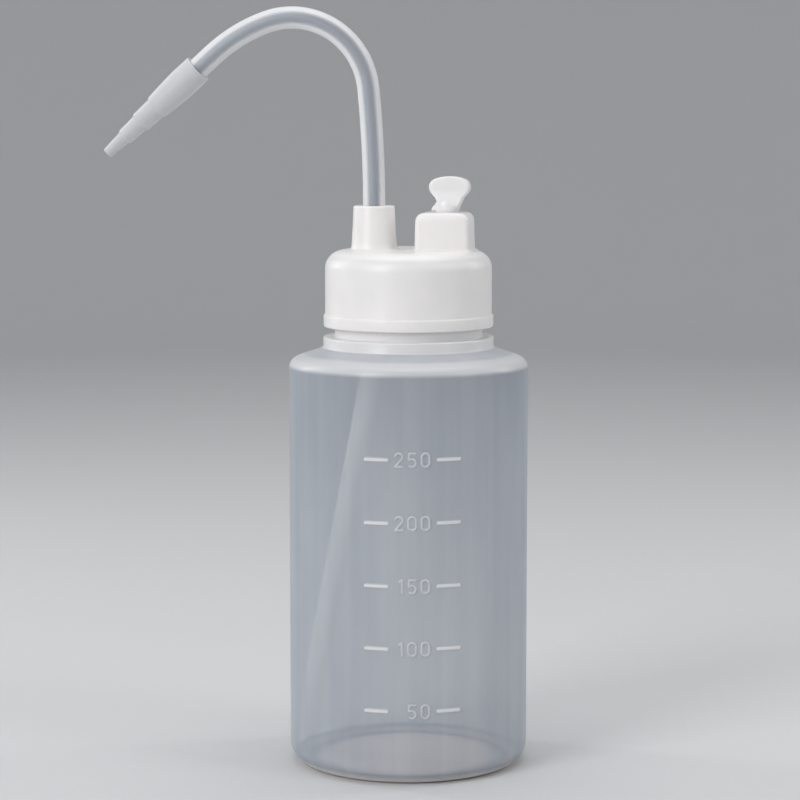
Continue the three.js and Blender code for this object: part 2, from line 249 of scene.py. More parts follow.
def mark_points(piece, name, value_at):
    """Stores a value at each point, worked out from its place in millimetres, for the material."""
    attribute = piece.data.attributes.new(name, "FLOAT", "POINT")
    for vertex, point in zip(piece.data.vertices, attribute.data):
        point.value = value_at(*(vertex.co / MM))


def smooth(piece, angle=32):
    """Smooth shading, with edges sharper than the angle in degrees left crisp."""
    same_place = 0.002 * MM
    no_length = 0.001 * MM
    work = bmesh.new()
    work.from_mesh(piece.data)
    bmesh.ops.remove_doubles(work, verts=work.verts, dist=same_place)
    bmesh.ops.dissolve_degenerate(work, edges=work.edges, dist=no_length)
    bmesh.ops.recalc_face_normals(work, faces=work.faces)
    work.to_mesh(piece.data)
    work.free()
    piece.data.shade_smooth()
    piece.data.set_sharp_from_angle(angle=math.radians(angle))
    return piece


# ---- material tools ----------------------------------------------------------------------------


class Plastic:
    """A Principled material whose pattern is laid out in the object's own metres."""

    def __init__(self, name, roughness, **sockets):
        self.material = bpy.data.materials.new(name)
        self.material.use_nodes = True
        self.tree = self.material.node_tree
        self.shader = self.tree.nodes["Principled BSDF"]
        self.place = self.node("ShaderNodeTexCoord").outputs["Object"]
        self.shader.inputs["Roughness"].default_value = roughness
        for socket, value in sockets.items():
            self.shader.inputs[socket.replace("_", " ")].default_value = value

    def node(self, kind, **settings):
        made = self.tree.nodes.new(kind)
        for setting, value in settings.items():
            setattr(made, setting, value)
        return made

    def link(self, output, target):
        self.tree.links.new(output, target)

    def stretched(self, x, y, z):
        """The object's coordinates, stretched so that a pattern runs along an axis."""
        mapping = self.node("ShaderNodeMapping")
        mapping.inputs["Scale"].default_value = (x, y, z)
        self.link(self.place, mapping.inputs["Vector"])
        return mapping.outputs["Vector"]

    def noise(self, size_mm, detail=3.0, roughness=0.5, place=None, distortion=0.0):
        """Cloudy noise whose features are about size_mm across."""
        made = self.node("ShaderNodeTexNoise")
        made.inputs["Scale"].default_value = 1 / (size_mm * MM)
        made.inputs["Detail"].default_value = detail
        made.inputs["Roughness"].default_value = roughness
        made.inputs["Distortion"].default_value = distortion
        self.link(place or self.place, made.inputs["Vector"])
        return made.outputs["Fac"]

    def range(self, value, low, high, to_low, to_high):
        made = self.node("ShaderNodeMapRange", interpolation_type="SMOOTHSTEP")
        self.link(value, made.inputs["Value"])
        made.inputs["From Min"].default_value = low
        made.inputs["From Max"].default_value = high
        made.inputs["To Min"].default_value = to_low
        made.inputs["To Max"].default_value = to_high
        return made.outputs["Result"]

    def math(self, operation, a, b):
        made = self.node("ShaderNodeMath", operation=operation)
        for socket, value in zip(made.inputs, (a, b)):
            if isinstance(value, (int, float)):
                socket.default_value = value
            else:
                self.link(value, socket)
        return made.outputs["Value"]

    def blend(self, factor, first, second):
        """A colour between two, each three numbers or an output."""
        made = self.node("ShaderNodeMix", data_type="RGBA")
        self.link(factor, made.inputs["Factor"])
        for socket, colour in ((made.inputs["A"], first), (made.inputs["B"], second)):
            if isinstance(colour, tuple):
                socket.default_value = (*colour, 1)
            else:
                self.link(colour, socket)
        return made.outputs["Result"]

    def above(self, height, band, amount):
        """Rises from 0 to amount across a band of heights in millimetres."""
        low, high = band
        return self.range(height, low * MM, high * MM, 0, amount)

    def marked(self, name):
        """A value that the mesh carries at its points."""
        return self.node("ShaderNodeAttribute", attribute_name=name).outputs["Fac"]

    def aslant(self):
        """How aslant the surface is seen: 0 face on, 1 at its outline."""
        weight = self.node("ShaderNodeLayerWeight")
        weight.inputs["Blend"].default_value = 0.5
        return weight.outputs["Facing"]

    def bump(self, height, depth_mm, normal=None):
        made = self.node("ShaderNodeBump")
        made.inputs["Strength"].default_value = 1
        made.inputs["Distance"].default_value = depth_mm * MM
        self.link(height, made.inputs["Height"])
        if normal:
            self.link(normal, made.inputs["Normal"])
        return made.outputs["Normal"]

    def set(self, socket, output):
        self.link(output, self.shader.inputs[socket])


def see_through(it, clear):
    """The alpha of a milky wall: clear is the share that passes straight through, a number or
    an output, and less passes the more aslant the wall is crossed."""
    cosine = it.math("SUBTRACT", 1, it.aslant())
    path = it.math("DIVIDE", 1.5, it.math("ADD", cosine, 0.5))
    return it.math("SUBTRACT", 1, it.math("POWER", clear, path))


# Heights in millimetres across which the bottle's colour changes, from the shoulder up: painted light
# on the shoulder's rim, painted shade on the cone above it, the neck's thicker plastic, and painted
# light on the neck above its ring.
SHOULDER_PAINTED_LIGHT = (106.8, 108.2)
CONE_PAINTED_SHADE = (110.3, 110.9)
NECK_DENSE = (112.1, 112.6)
NECK_PAINTED_LIGHT = (115.0, 115.4)


def bottle_plastic():
    """Milky low-density polyethylene: blow-moulded thin in the body, thick in the neck and base, with
    a painted reflection of the floor in the base and painted light and shade from the shoulder up.
    """
    it = Plastic("milky_polyethylene", 0.3, IOR=1.5, Specular_IOR_Level=0.5)
    height = it.node("ShaderNodeSeparateXYZ")
    it.link(it.place, height.inputs["Vector"])
    height = height.outputs["Z"]
    # Painted light makes the shoulder's rim dense and pale, as if lit from above; painted shade makes
    # the cone above it thinner and darker; the neck is dense again.
    shoulder = it.above(height, SHOULDER_PAINTED_LIGHT, 0.7)
    shoulder = it.math("SUBTRACT", shoulder, it.above(height, CONE_PAINTED_SHADE, 0.3))
    neck = it.above(height, NECK_DENSE, 1)
    base = it.marked("base")
    # Dense plastic of the neck and the scale, together with the shoulder's painted light and the
    # cone's painted shade.
    dense_and_painted_light = it.math("MAXIMUM", it.math("MAXIMUM", neck, shoulder), it.marked("raised"))
    # The body is drawn unevenly, in clouds and in faint streaks along its height.
    clouds = it.noise(16, detail=2, place=it.stretched(1, 1, 0.35))
    streaks = it.noise(4, detail=3, place=it.stretched(1, 1, 0.03))
    uneven = it.range(it.math("ADD", clouds, streaks), 0.7, 1.3, 0, 1)
    thin = it.blend(uneven, (0.38, 0.42, 0.48), (0.44, 0.48, 0.535))
    walls = it.blend(dense_and_painted_light, thin, (0.75, 0.745, 0.75))
    # The neck above its ring is painted near white: painted light for the light shining through it in
    # the cap flange's shade.
    walls = it.blend(it.above(height, NECK_PAINTED_LIGHT, 1), walls, (0.96, 0.95, 0.955))
    # The base's pale warm colour is partly its thick plastic and partly a painted reflection of the
    # floor.
    it.set("Base Color", it.blend(base, walls, (0.96, 0.89, 0.84)))
    drawn = it.noise(26, detail=1, place=it.stretched(1, 1, 0.5))
    lost = it.math("MULTIPLY", it.math("MAXIMUM", dense_and_painted_light, base), 0.44)
    clear = it.math("SUBTRACT", it.range(drawn, 0.3, 0.7, 0.48, 0.54), lost)
    # Nearly all of the wall's milkiness is taken on its outside.
    share = it.range(it.marked("inner"), 0, 1, 1, 0.06)
    it.set("Alpha", it.math("MULTIPLY", see_through(it, clear), share))
    scuffs = it.noise(7, detail=3, place=it.stretched(1, 1, 0.6))
    it.set("Roughness", it.range(scuffs, 0.3, 0.7, 0.285, 0.35))
    it.set("Normal", it.bump(it.noise(14, detail=1), 0.035))
    return it.material


def tube_plastic():
    """The extruded tube: a clearer wall, with faint lines along it, round a bore painted dark bluish
    in the gooseneck as painted shade; the dip tube is painted near white as painted light.
    """
    it = Plastic("tube_polyethylene", 0.4, IOR=1.5, Specular_IOR_Level=0.4)
    bore = it.marked("bore")
    dip = it.marked("dip")
    clouds = it.noise(8, detail=2)
    wall = it.blend(clouds, (0.76, 0.765, 0.78), (0.84, 0.84, 0.85))
    # Painted light: the dip tube inside the bottle is painted near white, for the light the milky wall
    # scatters onto it.
    wall = it.blend(dip, wall, (0.96, 0.95, 0.95))
    # Painted shade: the tube's bore above the deck is painted dark bluish.
    it.set("Base Color", it.blend(bore, wall, (0.46, 0.52, 0.61)))
    # The wall looks denser toward the tube's outline, and the bore fainter. The dip tube is painted
    # nearly opaque, with its painted light.
    aslant = it.aslant()
    outside = it.range(aslant, 0.03, 0.27, 0.20, 0.88)
    inside = it.range(aslant, 0.05, 0.5, 0.75, 0.25)
    alpha = it.math("ADD", outside, it.math("MULTIPLY", bore, it.math("SUBTRACT", inside, outside)))
    it.set("Alpha", it.math("MAXIMUM", alpha, it.math("MULTIPLY", dip, 0.96)))
    lines = it.noise(0.7, detail=3, roughness=0.6, place=it.stretched(1, 1, 0.2))
    it.set("Roughness", it.range(lines, 0.3, 0.7, 0.36, 0.52))
    it.set("Normal", it.bump(lines, 0.012))
    return it.material


def tip_plastic():
    """The moulded nozzle tip: denser and more satin than the tube, with its bore painted dark as
    painted shade.
    """
    it = Plastic("tip_polyethylene", 0.45, IOR=1.5, Specular_IOR_Level=0.4)
    clouds = it.noise(2.5, detail=4, roughness=0.6)
    wall = it.blend(clouds, (0.58, 0.585, 0.61), (0.80, 0.80, 0.82))
    # Painted shade: the narrow passage is painted dark.
    it.set("Base Color", it.blend(it.marked("bore"), wall, (0.34, 0.35, 0.40)))
    it.set("Alpha", see_through(it, it.range(clouds, 0.3, 0.7, 0.24, 0.34)))
    grain = it.noise(0.9, detail=4, roughness=0.6, place=it.stretched(1, 1, 1.4))
    it.set("Roughness", it.range(grain, 0.3, 0.7, 0.36, 0.58))
    it.set("Normal", it.bump(grain, 0.06))
    return it.material


def white_plastic(name, dark, light, grain_mm):
    """White moulded plastic with soft gloss, slightly cloudy and scuffed."""
    it = Plastic(
        name,
        0.35,
        IOR=1.49,
        Subsurface_Weight=0.25,
        Subsurface_Scale=1.5 * MM,
        Subsurface_Radius=(1.0, 0.9, 0.8),
    )
    clouds = it.noise(7, detail=3)
    it.set("Base Color", it.blend(clouds, dark, light))
    scuffs = it.noise(grain_mm, detail=6, roughness=0.7, distortion=0.4)
    it.set("Roughness", it.range(scuffs, 0.35, 0.75, 0.28, 0.46))
    waves = it.bump(it.noise(4, detail=1), 0.03)
    it.set("Normal", it.bump(scuffs, 0.012, waves))
    return it.material


def foam():
    """Closed-cell foam of the cap's liner."""
    it = Plastic("liner_foam", 0.8)
    cell_size = 0.3
    cells = it.node("ShaderNodeTexVoronoi", feature="F1")
    cells.inputs["Scale"].default_value = 1 / (cell_size * MM)
    it.link(it.place, cells.inputs["Vector"])
    distance = cells.outputs["Distance"]
    it.set("Base Color", it.blend(distance, (0.80, 0.79, 0.76), (0.90, 0.89, 0.87)))
    it.set("Normal", it.bump(distance, 0.04))
    return it.material


def silicone():
    """Satin rubber of the vent's O-ring."""
    it = Plastic("silicone_rubber", 0.55)
    dust = it.noise(0.4, detail=4)
    it.set("Base Color", it.blend(dust, (0.66, 0.66, 0.64), (0.78, 0.78, 0.76)))
    it.set("Roughness", it.range(dust, 0.3, 0.7, 0.45, 0.65))
    it.set("Normal", it.bump(dust, 0.01))
    return it.material


def dress(piece, material, body, slot, *nodes):
    """Gives a finished piece its material, and says what it rides on and stands for."""
    piece.data.materials.clear()
    piece.data.materials.append(material)
    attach(piece, body)
    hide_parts(*nodes)
    return piece


# ---- bottle ------------------------------------------------------------------------------------


def thread_rise(angle, height, start, crest, half_width):
    """How far a rounded thread ridge stands up at a point, fading in and out at its ends."""
    fade_turns = 0.06
    best = 0.0
    for turn in range(-1, 3):
        turned_by = angle / TAU + turn
        if not 0 <= turned_by <= THREAD_TURNS:
            continue
        off = abs(height - start - THREAD_PITCH * turned_by)
        if off < half_width:
            ends = min(turned_by, THREAD_TURNS - turned_by) / fade_turns
            best = max(best, crest * min(1.0, ends) * math.sqrt(1 - (off / half_width) ** 2))
    return best


def bottle_profiles():
    """The outside of the bottle, from the base up, and its inside, from the lip down."""
    radius = BODY_RADIUS / MM
    neck_top = NECK_TOP / MM
    heel_r = radius - HEEL
    shoulder_r = radius - SHOULDER_RADIUS
    slope = 90 - math.degrees(SHOULDER_SLOPE)
    neck_fillet = 1.2
    crease = 0.1

    def cone(fillet_radius, r):
        """The height of the shoulder's cone, outside or inside the wall, at a radius."""
        foot_r = shoulder_r + fillet_radius * math.cos(math.radians(slope))
        foot_z = SHOULDER_START + fillet_radius * math.sin(math.radians(slope))
        return foot_z + (foot_r - r) * math.tan(SHOULDER_SLOPE)

    ring_foot = cone(SHOULDER_RADIUS, NECK_RING_RADIUS)
    outside = [(0, PUSH_UP), (8, PUSH_UP), (14, PUSH_UP), (19.2, PUSH_UP)]
    outside += [(20.2, 0.72), (21.0, 0.42), (21.8, 0.1), (22.4, 0.0)]
    outside += arc(heel_r, HEEL, HEEL, -90, 0, 14)
    outside += [(radius, z) for z in body_rows()]
    outside += arc(shoulder_r, SHOULDER_START, SHOULDER_RADIUS, 0, slope, 12)
    # A faint crease runs round the cone, which lies a little lower inside it.
    for r, drop in ((27.5, 0.0), (27.3, 0.6 * crease), (27.0, crease), (24.2, crease)):
        outside.append((r, cone(SHOULDER_RADIUS, r) - drop))
    outside += [(23.2, ring_foot - 0.08), (22.9, ring_foot + 0.1)]
    outside += [(NECK_RING_RADIUS, ring_foot + 0.4), (NECK_RING_RADIUS, NECK_RING_TOP - 0.45)]
    outside += arc(NECK_RING_RADIUS - 0.45, NECK_RING_TOP - 0.45, 0.45, 20, 90, 4)
    outside += [(20.7, NECK_RING_TOP), (20.0, NECK_RING_TOP + 0.12)]
    outside += [(NECK_RADIUS, NECK_RING_TOP + 0.5)]
    outside += [(NECK_RADIUS, z) for z in rows_between(116.5, neck_top - 1.2, 0.25)]
    outside += arc(NECK_RADIUS - 0.6, neck_top - 0.6, 0.6, 0, 90, 5)
    inner_shoulder = SHOULDER_RADIUS - WALL
    inside = arc(NECK_BORE + 0.4, neck_top - 0.4, 0.4, 90, 180, 4)
    inside += [(NECK_BORE, z) for z in (130, 124, 118)]
    fillet_z = cone(inner_shoulder, NECK_BORE) + neck_fillet
    inside += arc(NECK_BORE + neck_fillet, fillet_z, neck_fillet, 180, 245, 5)
    inside += [(24, cone(inner_shoulder, 24))]
    inside += arc(shoulder_r, SHOULDER_START, inner_shoulder, slope, 0, 8)
    inside += [(radius - WALL, z) for z in reversed(rows_between(8, SHOULDER_START - 1.5, 6))]
    inside += arc(heel_r, HEEL, HEEL - WALL, 0, -90, 10)
    inside += [(22.4, WALL), (21, WALL + 0.4), (20.2, WALL + 0.72), (19.2, WALL + PUSH_UP)]
    inside += [(10, WALL + PUSH_UP), (0, WALL + PUSH_UP)]
    return outside, inside


def bottle_relief(angle, radius, height):
    """The screw thread, the scale, and the faint line that the two halves of the mould leave."""
    parting_depth = 0.04
    parting_width = 0.3
    rise = 0.0
    if radius > NECK_RADIUS - 0.01 and 120 < height < 132:
        rise = thread_rise(angle, height, THREAD_START, crest=1.2, half_width=1.0)
    if abs(radius - BODY_RADIUS / MM) < 0.01:
        off = min(abs(math.remainder(angle, TAU)), abs(math.remainder(angle - math.pi, TAU)))
        rise -= parting_depth * math.exp(-((off * radius / parting_width) ** 2))
        rise += scale_rise(angle, height)
    return rise


# Each figure as strokes, in millimetres about its own middle. A line joins two points. An arc
# has a centre, a radius, and the angles in degrees where it starts and ends.
FIGURES = {
    "0": [
        ("line", (-1.0, -0.72), (-1.0, 0.72)),
        ("line", (1.0, -0.72), (1.0, 0.72)),
        ("arc", (0, 0.72), 1.0, 0, 180),
        ("arc", (0, -0.72), 1.0, 180, 360),
    ],
    "1": [
        ("line", (0.35, -1.72), (0.35, 1.72)),
        ("line", (0.35, 1.72), (-0.35, 1.15)),
    ],
    "2": [
        ("arc", (0, 0.77), 0.95, -35, 165),
        ("line", (0.778, 0.225), (-0.95, -1.72)),
        ("line", (-0.95, -1.72), (1.0, -1.72)),
    ],
    "5": [
        ("line", (0.85, 1.72), (-0.75, 1.72)),
        ("line", (-0.75, 1.72), (-0.86, 0.18)),
        ("arc", (-0.08, -0.72), 1.0, -125, 128),
    ],
}
FIGURE_ADVANCE = {"0": 3.45, "1": 2.5, "2": 3.45, "5": 3.45}
FIGURES_RIGHT = 5.05
# Half the width of a figure's stroke and of a bar, and how far they stand up.
FIGURE_STROKE = 0.27
STROKE = 0.38
RELIEF = 0.34
# A bar runs between these angles to either side of the scale's centre.
BAR_NEAR = math.radians(11.2)
BAR_FAR = math.radians(23.0)
MARKS = (50, 100, 150, 200, 250)
# How dense the plastic looks in the bars and in the figures.
BAR_DENSITY = 0.95
FIGURE_DENSITY = 0.6


def stroke_distance(stroke, x, y):
    """How far a point is from a stroke's middle line."""
    if stroke[0] == "line":
        (x0, y0), (x1, y1) = stroke[1:]
        length = (x1 - x0) ** 2 + (y1 - y0) ** 2
        along = ((x - x0) * (x1 - x0) + (y - y0) * (y1 - y0)) / length
        along = min(1.0, max(0.0, along))
        return math.hypot(x - x0 - along * (x1 - x0), y - y0 - along * (y1 - y0))
    (cx, cy), radius, first, last = stroke[1:]
    middle = math.radians((first + last) / 2)
    reach = math.radians((last - first) / 2)
    off = math.remainder(math.atan2(y - cy, x - cx) - middle, TAU)
    if abs(off) <= reach:
        return abs(math.hypot(x - cx, y - cy) - radius)
    end = middle + math.copysign(reach, off)
    return math.hypot(x - cx - radius * math.cos(end), y - cy - radius * math.sin(end))


def mark_strokes(mark):
    """The strokes of one mark's number, flush at the right, as (stroke, shift in x) pairs."""
    figures = str(mark)
    x = FIGURES_RIGHT - sum(FIGURE_ADVANCE[f] for f in figures)
    strokes = []
    for figure in figures:
        strokes += [(stroke, x + FIGURE_ADVANCE[figure] / 2) for stroke in FIGURES[figure]]
        x += FIGURE_ADVANCE[figure]
    return strokes


MARK_STROKES = [mark_strokes(mark) for mark in MARKS]


def scale_rise(angle, height):
    """How far the moulded scale stands up at a point of the body."""
    row_reach = 3
    turn_reach = BAR_FAR + 0.03
    row = round((height - SCALE_FIRST) / SCALE_STEP)
    y = height - SCALE_FIRST - SCALE_STEP * row
    turn = math.remainder(angle - SCALE_CENTRE, TAU)
    if not 0 <= row < len(MARKS) or abs(y) > row_reach or abs(turn) > turn_reach:
        return 0.0
    radius = BODY_RADIUS / MM
    x = turn * radius
    figures_end = BAR_NEAR * radius - 0.6
    if abs(x) < figures_end:
        reach = FIGURE_STROKE
        nearest = min(stroke_distance(stroke, x - shift, y) for stroke, shift in MARK_STROKES[row])
    else:
        # A bar is a rounded box about its own middle.
        reach = STROKE
        bar_middle = (BAR_FAR + BAR_NEAR) / 2 * radius
        bar_half_length = (BAR_FAR - BAR_NEAR) / 2 * radius - STROKE
        bar_half_height = 0.08
        past_end = max(0.0, abs(abs(x) - bar_middle) - bar_half_length)
        nearest = math.hypot(past_end, max(0.0, abs(y) - bar_half_height))
    flank_out = 0.12
    flank_width = 0.26
    return RELIEF * eased((reach + flank_out - nearest) / flank_width)


def bottle_columns():
    """Angles of the bottle's columns: close together where the scale and parting lines are."""
    fine_step = 0.2
    coarse_step = 1.1
    parting_reach = 0.9
    radius = BODY_RADIUS / MM
    reach = BAR_FAR + math.radians(1.2)
    fine = round(2 * reach / (fine_step / radius))
    angles = [SCALE_CENTRE - reach + 2 * reach * i / fine for i in range(fine + 1)]
    coarse = round((TAU - 2 * reach) * radius / coarse_step)
    angles += [SCALE_CENTRE + reach + (TAU - 2 * reach) * i / coarse for i in range(1, coarse)]
    for parting in (0.0, math.pi):
        angles = [a for a in angles if abs(math.remainder(a - parting, TAU)) > parting_reach / radius]
        angles += [parting + offset / radius for offset in (-0.7, -0.45, -0.2, 0, 0.2, 0.45, 0.7)]
    return sorted(a % TAU for a in angles)


def body_rows():
    """Heights of the straight body's rows: close together across each mark."""
    rows = [8.0, 11.0, 14.0]
    for row in range(len(MARKS)):
        middle = SCALE_FIRST + SCALE_STEP * row
        rows += rows_between(middle - 2.5, middle + 2.5, 0.2)
        rows += [middle + 5.2, middle + 8.2, middle + 11.2]
    return [z for z in rows if z < SHOULDER_START - 1.5] + [SHOULDER_START - 1.0]


# The top of the base's thick plastic.
BASE_TOP = 2.4


def raised_density(x, y, z):
    """How dense the plastic looks at a point of the scale."""
    bar_margin = 1.5
    body = BODY_RADIUS / MM
    if math.hypot(x, y) <= body + 0.01:
        return 0.0
    angle = math.atan2(y, x)
    on_bar = abs(math.remainder(angle - SCALE_CENTRE, TAU)) > BAR_NEAR - bar_margin / body
    return scale_rise(angle, z) / RELIEF * (BAR_DENSITY if on_bar else FIGURE_DENSITY)


def is_inner(x, y, z):
    """1 on the inside of the thin wall, from the base to the shoulder."""
    wall_top = 109
    body = BODY_RADIUS / MM
    limit = min(body - 0.9 * WALL, body - HEEL + WALL + z)
    return 1.0 if BASE_TOP < z < wall_top and math.hypot(x, y) < limit else 0.0


def base_density(x, y, z):
    """The base's disc is paler and warmer, fading outward, and so is the rim that the bottle stands
    on: partly thicker plastic, partly a painted reflection of the floor.
    """
    disc_edge, disc_fade = 27, 5
    rim_top, rim_fade = 2.6, 2.4
    r = math.hypot(x, y)
    disc = (disc_edge - r) / disc_fade if z < BASE_TOP else 0
    rim = (rim_top - z) / rim_fade if r > BODY_RADIUS / MM - HEEL else 0
    return min(1.0, max(0.0, disc, rim))


def make_bottle():
    outside, inside = bottle_profiles()
    bottle = turned("bottle_shell", outside + inside, bottle_columns(), bottle_relief)
    smooth(bottle)
    mark_points(bottle, "raised", raised_density)
    mark_points(bottle, "inner", is_inner)
    mark_points(bottle, "base", base_density)
    return dress(bottle, bottle_plastic(), "bottle", "bottle", "bottle")


# ---- screw cap ---------------------------------------------------------------------------------


def cap_profile():
    """The cap's shell, from the middle of its ceiling round the skirt to the middle of the deck."""
    flange = CAP_FLANGE_RADIUS / MM
    foot = CAP_BOTTOM / MM
    profile = [(0, CAP_CEILING), (8, CAP_CEILING), (15, CAP_CEILING)]
    profile += arc(CAP_BORE - 0.8, CAP_CEILING - 0.8, 0.8, 90, 0, 5)
    profile += [(CAP_BORE, z) for z in reversed(rows_between(119.2, 134.8, 0.3))]
    profile += [(CAP_BORE + 0.1, foot + 0.5), (CAP_BORE + 0.45, foot)]
    profile += arc(flange - 0.4, foot + 0.4, 0.4, -90, 0, 5)
    profile += arc(flange - 0.35, 120.85, 0.35, 0, 80, 4)
    profile += [(CAP_SKIRT_RADIUS + 0.04, 121.3), (CAP_SKIRT_RADIUS, 121.6)]
    profile += [(CAP_SKIRT_RADIUS, 127), (CAP_SKIRT_RADIUS, 132)]
    # The dome is a quarter of an ellipse, from the skirt to the deck.
    steps = 18
    for i in range(steps + 1):
        a = math.radians(90 * i / steps)
        r = DECK_EDGE + (CAP_SKIRT_RADIUS - DECK_EDGE) * math.cos(a)
        profile.append((r, CAP_DOME_FOOT + (DECK - CAP_DOME_FOOT) * math.sin(a)))
    profile += [(12, DECK), (6, DECK), (0, DECK)]
    return profile


# A small pad stands out from the flange at the front: its middle, half its width and its rise.
PAD_MIDDLE = math.radians(-80)
PAD_HALF = math.radians(7)
PAD_RISE = 0.18


def cap_relief(angle, radius, height):
    """The thread inside the skirt and the pad on the flange."""
    if abs(radius - CAP_BORE) < 0.01 and 119 < height < 130:
        start = THREAD_START - THREAD_PITCH / 2
        return -thread_rise(angle, height, start, crest=0.8, half_width=0.8)
    on_flange = radius > CAP_SKIRT_RADIUS + 0.1 and height > 120
    if on_flange and abs(math.remainder(angle - PAD_MIDDLE, TAU)) < PAD_HALF:
        return PAD_RISE
    return 0.0


def make_socket():
    """The tapered boss that grips the delivery tube, with a fillet at its foot."""
    top = SOCKET_TOP / MM
    profile = [(0, DECK - 0.8), (7.2, DECK - 0.8), (7.0, DECK - 0.02)]
    profile += [(6.62, DECK + 0.06), (6.3, DECK + 0.25), (6.12, DECK + 0.6)]
    profile += [(5.98, DECK + 2), (5.75, DECK + 6), (5.52, top - 0.6)]
    profile += arc(5.12, top - 0.38, 0.38, 10, 90, 5)
    profile += [(0, top)]
    return move(turned("socket", profile, 96), x=SOCKET_X / MM)


def rounded_rectangle(half_x, half_y, radius, steps=6):
    points = []
    for quarter, (sx, sy) in enumerate(((1, 1), (-1, 1), (-1, -1), (1, -1))):
        for i in range(steps + 1):
            a = math.radians(90 * quarter + 90 * i / steps)
            x = sx * (half_x - radius) + radius * math.cos(a)
            y = sy * (half_y - radius) + radius * math.sin(a)
            points.append((x, y))
    return points


def make_block():
    """The vent block: a rounded plan whose sides draw in as they rise, rounded over the top."""
    half_x = 7.15
    half_y = 6.5
    edge = 1.1
    corner = 2.2
    corner_steps = 8
    layers = [(0.9, DECK - 0.8), (0.9, DECK - 0.02), (0.42, DECK + 0.12), (0.15, DECK + 0.6)]
    layers += [(0.08, DECK + 4), (0.0, BLOCK_TOP - corner)]
    for i in range(1, corner_steps + 1):
        a = math.radians(90 * i / corner_steps)
        layers.append((-corner * (1 - math.cos(a)), BLOCK_TOP - corner + corner * math.sin(a)))
    points = []
    faces = []
    for grow, z in layers:
        inset = max(0.0, -grow)
        # The top is rounder at its two ends than at the front and back.
        grow_y = max(grow, -0.45 * inset)
        plan = rounded_rectangle(half_x + grow, half_y + grow_y, edge + 0.2 * inset)
        points += [(x, y, z) for x, y in plan]
    count = len(points) // len(layers)
    for layer in range(len(layers) - 1):
        for i in range(count):
            j = (i + 1) % count
            low = layer * count
            faces.append((low + i, low + j, low + count + j, low + count + i))
    faces.append(tuple(reversed(range(count))))
    faces.append(tuple(range(len(points) - count, len(points))))
    return move(mesh_from("block", points, faces), x=BLOCK_X)


def make_cap():
    """One moulding: the shell with its socket and block, bored for the tube, the plug and the vent."""
    cap = turned("cap_shell", cap_profile(), 144, cap_relief)
    combine(cap, make_socket(), "UNION")
    combine(cap, make_block(), "UNION")
    combine(cap, move(bar("bore", TUBE_RADIUS + 0.06, 130, 160), x=SOCKET_X / MM), "DIFFERENCE")
    combine(cap, move(bar("well", PLUG_RADIUS + 0.08, 130, 160), x=VENT_X / MM), "DIFFERENCE")
    outlet = bar("outlet", 1.2, 0, 13, 32)
    outlet.data.transform(Matrix.Rotation(-math.pi / 2, 4, "X"))
    combine(cap, move(outlet, x=VENT_X / MM, z=VENT_PORT), "DIFFERENCE")
    dimple = turned(
        "dimple",
        [(0, DECK - 0.4), (0.9, DECK - 0.38), (1.35, DECK - 0.2), (1.5, DECK + 0.2), (0, DECK + 0.2)],
        32,
    )
    combine(cap, move(dimple, 0.4, -6), "DIFFERENCE")
    white = white_plastic("white_polypropylene", (0.80, 0.78, 0.77), (0.86, 0.84, 0.83), 0.5)
    return dress(smooth(cap, 28), white, "cap", "cap", "screw_cap")


# ---- liner and O-ring --------------------------------------------------------------------------


def make_liner():
    edge = 0.2
    inner = 16.8
    outer = liner_high.x / MM
    low = liner_low.z / MM
    high = liner_high.z / MM
    loop = arc(outer - edge, low + edge, edge, -90, 0, 3)
    loop += arc(outer - edge, high - edge, edge, 0, 90, 3)
    loop += arc(inner + edge, high - edge, edge, 90, 180, 3)
    loop += arc(inner + edge, low + edge, edge, 180, 270, 3)
    liner = turned("liner_ring", loop, 96, closed=True)
    return dress(smooth(liner, 40), foam(), "liner", "liner", "cap_liner")


def make_o_ring():
    ring_radius = 2.55
    section = (o_ring_high.z - o_ring_low.z) / 2 / MM
    middle = (o_ring_high.z + o_ring_low.z) / 2 / MM
    loop = arc(ring_radius, middle, section, 0, 360, 20)[:-1]
    ring = move(turned("o_ring", loop, 64, closed=True), x=VENT_X / MM)
    return dress(smooth(ring, 60), silicone(), "vent", "o_ring", "vent_o_ring")


# ---- vent cock ---------------------------------------------------------------------------------


def wing_outline():
    """Narrow at the stem, slanting out to the cheeks and arched on top, a little off the axis."""
    offset = 0.66
    top = plug_high.z / MM
    shoulder = 156.3
    half = 5.15
    right = [(2.6, 149.6), (2.75, 151.0), (3.0, 151.7), (3.6, 152.3), (4.25, 152.9)]
    right += [(4.9, 153.55), (5.35, 154.3), (5.5, 155.1), (5.42, 155.8)]
    for i in range(9):
        x = half * math.cos(math.radians(90 * i / 9))
        right.append((x, shoulder + (top - shoulder) * (1 - (x / half) ** 2) ** 0.6))
    left = [(-x, z) for x, z in reversed(right)]
    return [(x + offset, z) for x, z in right + [(0, top)] + left]


# The outline of the small pointer at the wing's foot.
LUG = [(-2.0, 148.8), (-2.0, 151.4), (-2.9, 150.9), (-3.6, 150.2), (-4.25, 149.5), (-4.25, 148.8)]


def make_handle():
    """The stem's head, the wing and the pointer lug, run together with soft fillets."""
    cell = 0.14
    wing_depth = 4.4
    lug_depth = 1.5
    # The wing is deeper at its foot, and back to its own depth this far up.
    foot_extra = 0.36
    foot_low = 150.5
    foot_rise = 4
    profile = [(0, 148.7), (3.0, 148.7), (3.3, 149.0), (3.3, 150.4), (3.15, 151.0)]
    profile += [(2.8, 151.7), (2.2, 152.3), (0, 152.6)]
    handle = turned("handle", profile, 72)
    wing = extruded("wing", wing_outline(), wing_depth, rounding=0.7, segments=4)
    softened(wing, cell, passes=2)
    for vertex in wing.data.vertices:
        risen = eased((vertex.co.z / MM - foot_low) / foot_rise)
        vertex.co.y *= 1 + foot_extra * (1 - risen)
    combine(handle, wing, "UNION")
    lug = extruded("lug", LUG, lug_depth, rounding=0.15, segments=2)
    combine(handle, lug, "UNION")
    return softened(handle, cell, passes=18)


